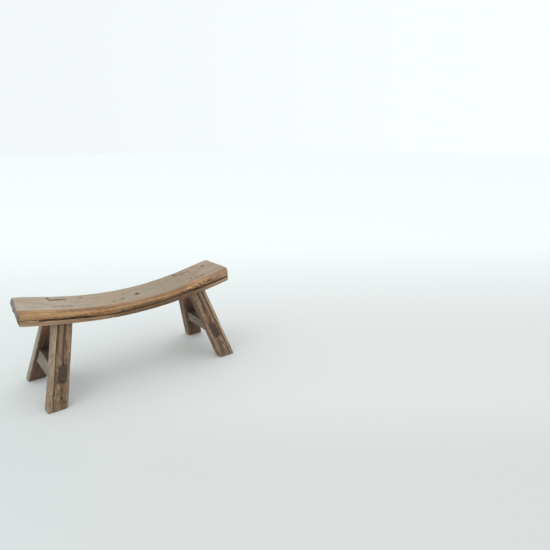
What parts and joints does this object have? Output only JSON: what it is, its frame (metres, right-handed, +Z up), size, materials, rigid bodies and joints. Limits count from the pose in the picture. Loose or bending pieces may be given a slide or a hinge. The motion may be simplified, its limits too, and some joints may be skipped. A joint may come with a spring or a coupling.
{
  "type": "headrest",
  "caption": "Joined wooden headrest: a dished plank with moulded long edges on splayed, moulded legs, tied at each end by a stretcher and held by wedged through tenons.",
  "frame": {"origin": "on the floor, under the centre of the headrest", "axes": "+X along the plank towards the right-hand end, +Y across it towards the back, +Z up"},
  "size_m": [0.3724, 0.1476, 0.1645],
  "materials": {
    "plank_wood": "old, worn and greyed, smooth from use, golden brown where the long edges have rubbed",
    "leg_wood": "old, dry, dirt in the grooves, rubbed on the edges",
    "stretcher_wood": "old, dry and greyed, sooty on top",
    "wedge_wood": "dry end grain, cut flush with the top"
  },
  "bodies": {
    "root": {"headrest_plank": "plank_wood", "leg_front_left": "leg_wood", "leg_back_left": "leg_wood", "leg_front_right": "leg_wood", "leg_back_right": "leg_wood", "tenon_wedge_front_left": "wedge_wood", "tenon_wedge_back_left": "wedge_wood", "tenon_wedge_front_right": "wedge_wood", "tenon_wedge_back_right": "wedge_wood", "stretcher_left": "stretcher_wood", "stretcher_right": "stretcher_wood"}
  },
  "joints": []
}
